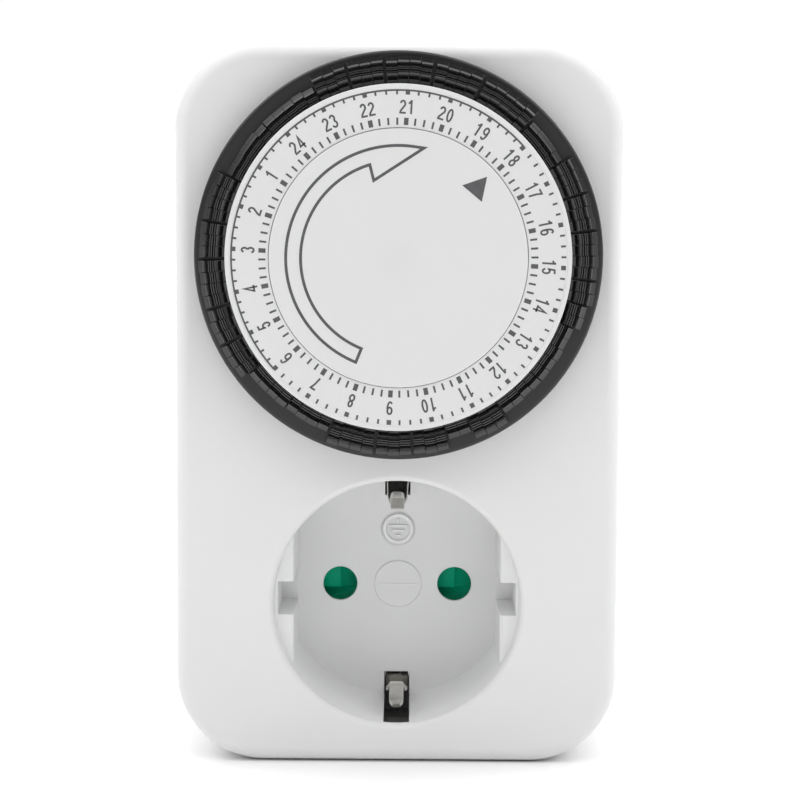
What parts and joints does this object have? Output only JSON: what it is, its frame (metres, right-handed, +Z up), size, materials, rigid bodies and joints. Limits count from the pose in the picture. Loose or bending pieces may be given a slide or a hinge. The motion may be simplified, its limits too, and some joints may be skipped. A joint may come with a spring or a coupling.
{
  "type": "plug-in timer switch",
  "caption": "Plug-in mechanical 24-hour timer: rounded white housing, turning dial with black push tabs, recessed earthed socket in front and a two-pin plug behind.",
  "frame": {"origin": "centre of the plug boss's end face, on the axis that the plug and the socket share", "axes": "+Z up along the housing, +Y out of the plug into the wall, the front faces -Y"},
  "size_m": [0.0708, 0.079, 0.115],
  "materials": {
    "white_plastic": "fine satin moulded",
    "insert_plastic": "fine satin moulded, a little greyer",
    "black_plastic": "satin moulded",
    "printed_white": "satin with dark grey print",
    "green_plastic": "satin moulded",
    "natural_plastic": "unpigmented acetal",
    "brass": "stamped strip",
    "nickel": "nickel plated brass",
    "steel": "zinc plated",
    "copper": "enamelled copper winding"
  },
  "bodies": {
    "housing": {"front_shell": "white_plastic", "rear_shell": "white_plastic", "socket_insert": "insert_plastic", "shutter_spring": "steel", "earth_strap": "nickel", "line_contact": "brass", "neutral_contact": "brass", "line_pin": "nickel", "neutral_pin": "nickel", "line_busbar": "brass", "mechanism_plate": "natural_plastic", "centre_post": "natural_plastic", "centre_disc": "printed_white", "gear_bridge": "steel", "motor_can": "steel", "motor_coil": "copper", "first_arbor": "steel", "middle_arbor": "steel", "housing_screw_1": "steel", "housing_screw_2": "steel", "housing_screw_3": "steel", "housing_screw_4": "steel"},
    "dial": {"dial_drum": "black_plastic", "dial_face": "printed_white"},
    "shutter": {"socket_shutter": "green_plastic"},
    "override": {"override_slider": "black_plastic"},
    "lever": {"switch_lever": "natural_plastic"},
    "blade": {"switch_blade": "brass"},
    "drum_pinion": {"drum_pinion_wheel": "natural_plastic"},
    "middle_gear": {"middle_wheel": "natural_plastic"},
    "motor_output": {"motor_pinion": "steel"},
    "tab_bank_01": {"tab_bank_01": "black_plastic"},
    "tab_bank_02": {"tab_bank_02": "black_plastic"},
    "tab_bank_03": {"tab_bank_03": "black_plastic"},
    "tab_bank_04": {"tab_bank_04": "black_plastic"},
    "tab_bank_05": {"tab_bank_05": "black_plastic"},
    "tab_bank_06": {"tab_bank_06": "black_plastic"},
    "tab_bank_07": {"tab_bank_07": "black_plastic"},
    "tab_bank_08": {"tab_bank_08": "black_plastic"},
    "tab_bank_09": {"tab_bank_09": "black_plastic"},
    "tab_bank_10": {"tab_bank_10": "black_plastic"},
    "tab_bank_11": {"tab_bank_11": "black_plastic"},
    "tab_bank_12": {"tab_bank_12": "black_plastic"},
    "tab_bank_13": {"tab_bank_13": "black_plastic"},
    "tab_bank_14": {"tab_bank_14": "black_plastic"},
    "tab_bank_15": {"tab_bank_15": "black_plastic"},
    "tab_bank_16": {"tab_bank_16": "black_plastic"},
    "tab_bank_17": {"tab_bank_17": "black_plastic"},
    "tab_bank_18": {"tab_bank_18": "black_plastic"},
    "tab_bank_19": {"tab_bank_19": "black_plastic"},
    "tab_bank_20": {"tab_bank_20": "black_plastic"},
    "tab_bank_21": {"tab_bank_21": "black_plastic"},
    "tab_bank_22": {"tab_bank_22": "black_plastic"},
    "tab_bank_23": {"tab_bank_23": "black_plastic"},
    "tab_bank_24": {"tab_bank_24": "black_plastic"},
    "tab_bank_25": {"tab_bank_25": "black_plastic"},
    "tab_bank_26": {"tab_bank_26": "black_plastic"},
    "tab_bank_27": {"tab_bank_27": "black_plastic"}
  },
  "joints": [
    {"name": "dial_turn", "type": "hinge", "parent": "housing", "child": "dial", "pos_m": [0, -0.054, 0.056], "axis": [0, 1, 0], "continuous": true},
    {"name": "shutter_slide", "type": "slide", "parent": "housing", "child": "shutter", "axis": [1, 0, 0], "range_m": [0, 0.0062], "stiffness_N_per_m": 15},
    {"name": "override_slide", "type": "slide", "parent": "housing", "child": "override", "axis": [0, 0, 1], "range_m": [0, 0.004]},
    {"name": "lever_swing", "type": "hinge", "parent": "housing", "child": "lever", "pos_m": [0.01336, -0.0432, 0.02849], "axis": [0, 1, 0], "range_deg": [-8, 0], "stiffness_Nm_per_rad": 0.0002, "springref_deg": 17.19},
    {"name": "blade_swing", "type": "hinge", "parent": "housing", "child": "blade", "pos_m": [0.0162, -0.0245, 0.0145], "axis": [0, 1, 0], "range_deg": [-2.2, 0.1]},
    {"name": "drum_pinion_turn", "type": "hinge", "parent": "housing", "child": "drum_pinion", "pos_m": [0.01516, -0.049, 0.06475], "axis": [0, 1, 0], "continuous": true},
    {"name": "middle_wheel_turn", "type": "hinge", "parent": "housing", "child": "middle_gear", "pos_m": [0.00392, -0.042, 0.05927], "axis": [0, 1, 0], "continuous": true},
    {"name": "motor_pinion_turn", "type": "hinge", "parent": "housing", "child": "motor_output", "pos_m": [-0.00508, -0.041, 0.05736], "axis": [0, 1, 0], "continuous": true},
    {"name": "tab_bank_01_slide", "type": "slide", "parent": "dial", "child": "tab_bank_01", "axis": [-0.3645, 0, 0.9312], "range_m": [-0.0015, 0]},
    {"name": "tab_bank_02_slide", "type": "slide", "parent": "dial", "child": "tab_bank_02", "axis": [-0.1758, 0, 0.9844], "range_m": [-0.0015, 0]},
    {"name": "tab_bank_03_slide", "type": "slide", "parent": "dial", "child": "tab_bank_03", "axis": [0.0523, 0, 0.9986], "range_m": [-0.0015, 0]},
    {"name": "tab_bank_04_slide", "type": "slide", "parent": "dial", "child": "tab_bank_04", "axis": [0.309, 0, 0.9511], "range_m": [-0.0015, 0]},
    {"name": "tab_bank_05_slide", "type": "slide", "parent": "dial", "child": "tab_bank_05", "axis": [0.5718, 0, 0.8204], "range_m": [-0.0015, 0]},
    {"name": "tab_bank_06_slide", "type": "slide", "parent": "dial", "child": "tab_bank_06", "axis": [0.7853, 0, 0.6191], "range_m": [0, 0.0015]},
    {"name": "tab_bank_07_slide", "type": "slide", "parent": "dial", "child": "tab_bank_07", "axis": [0.9054, 0, 0.4246], "range_m": [-0.0015, 0]},
    {"name": "tab_bank_08_slide", "type": "slide", "parent": "dial", "child": "tab_bank_08", "axis": [0.9708, 0, 0.2398], "range_m": [-0.0015, 0]},
    {"name": "tab_bank_09_slide", "type": "slide", "parent": "dial", "child": "tab_bank_09", "axis": [0.9999, 0, 0.0131], "range_m": [-0.0015, 0]},
    {"name": "tab_bank_10_slide", "type": "slide", "parent": "dial", "child": "tab_bank_10", "axis": [0.9833, 0, -0.1822], "range_m": [-0.0015, 0]},
    {"name": "tab_bank_11_slide", "type": "slide", "parent": "dial", "child": "tab_bank_11", "axis": [0.9511, 0, -0.309], "range_m": [-0.0009, 0.0006]},
    {"name": "tab_bank_12_slide", "type": "slide", "parent": "dial", "child": "tab_bank_12", "axis": [0.856, 0, -0.5169], "range_m": [0, 0.0015]},
    {"name": "tab_bank_13_slide", "type": "slide", "parent": "dial", "child": "tab_bank_13", "axis": [0.6691, 0, -0.7431], "range_m": [0, 0.0015]},
    {"name": "tab_bank_14_slide", "type": "slide", "parent": "dial", "child": "tab_bank_14", "axis": [0.4829, 0, -0.8757], "range_m": [-0.0015, 0]},
    {"name": "tab_bank_15_slide", "type": "slide", "parent": "dial", "child": "tab_bank_15", "axis": [0.3338, 0, -0.9426], "range_m": [0, 0.0015]},
    {"name": "tab_bank_16_slide", "type": "slide", "parent": "dial", "child": "tab_bank_16", "axis": [0.1758, 0, -0.9844], "range_m": [-0.0015, 0]},
    {"name": "tab_bank_17_slide", "type": "slide", "parent": "dial", "child": "tab_bank_17", "axis": [-0.0196, 0, -0.9998], "range_m": [-0.0015, 0]},
    {"name": "tab_bank_18_slide", "type": "slide", "parent": "dial", "child": "tab_bank_18", "axis": [-0.2462, 0, -0.9692], "range_m": [-0.0015, 0]},
    {"name": "tab_bank_19_slide", "type": "slide", "parent": "dial", "child": "tab_bank_19", "axis": [-0.4886, 0, -0.8725], "range_m": [0, 0.0015]},
    {"name": "tab_bank_20_slide", "type": "slide", "parent": "dial", "child": "tab_bank_20", "axis": [-0.6978, 0, -0.7163], "range_m": [0, 0.0015]},
    {"name": "tab_bank_21_slide", "type": "slide", "parent": "dial", "child": "tab_bank_21", "axis": [-0.8422, 0, -0.5391], "range_m": [-0.0015, 0]},
    {"name": "tab_bank_22_slide", "type": "slide", "parent": "dial", "child": "tab_bank_22", "axis": [-0.9312, 0, -0.3645], "range_m": [-0.0015, 0]},
    {"name": "tab_bank_23_slide", "type": "slide", "parent": "dial", "child": "tab_bank_23", "axis": [-0.9897, 0, -0.1435], "range_m": [-0.0015, 0]},
    {"name": "tab_bank_24_slide", "type": "slide", "parent": "dial", "child": "tab_bank_24", "axis": [-0.9964, 0, 0.085], "range_m": [-0.0015, 0]},
    {"name": "tab_bank_25_slide", "type": "slide", "parent": "dial", "child": "tab_bank_25", "axis": [-0.9511, 0, 0.309], "range_m": [-0.0015, 0]},
    {"name": "tab_bank_26_slide", "type": "slide", "parent": "dial", "child": "tab_bank_26", "axis": [-0.8204, 0, 0.5718], "range_m": [0, 0.0015]},
    {"name": "tab_bank_27_slide", "type": "slide", "parent": "dial", "child": "tab_bank_27", "axis": [-0.5931, 0, 0.8052], "range_m": [0, 0.0015]}
  ],
  "couplings": [
    {"joint": "drum_pinion_turn", "follows": "dial_turn", "ratio": 6},
    {"joint": "middle_wheel_turn", "follows": "dial_turn", "ratio": -24},
    {"joint": "motor_pinion_turn", "follows": "dial_turn", "ratio": 86.4},
    {"joint": "blade_swing", "follows": "lever_swing", "ratio": 0.26}
  ]
}
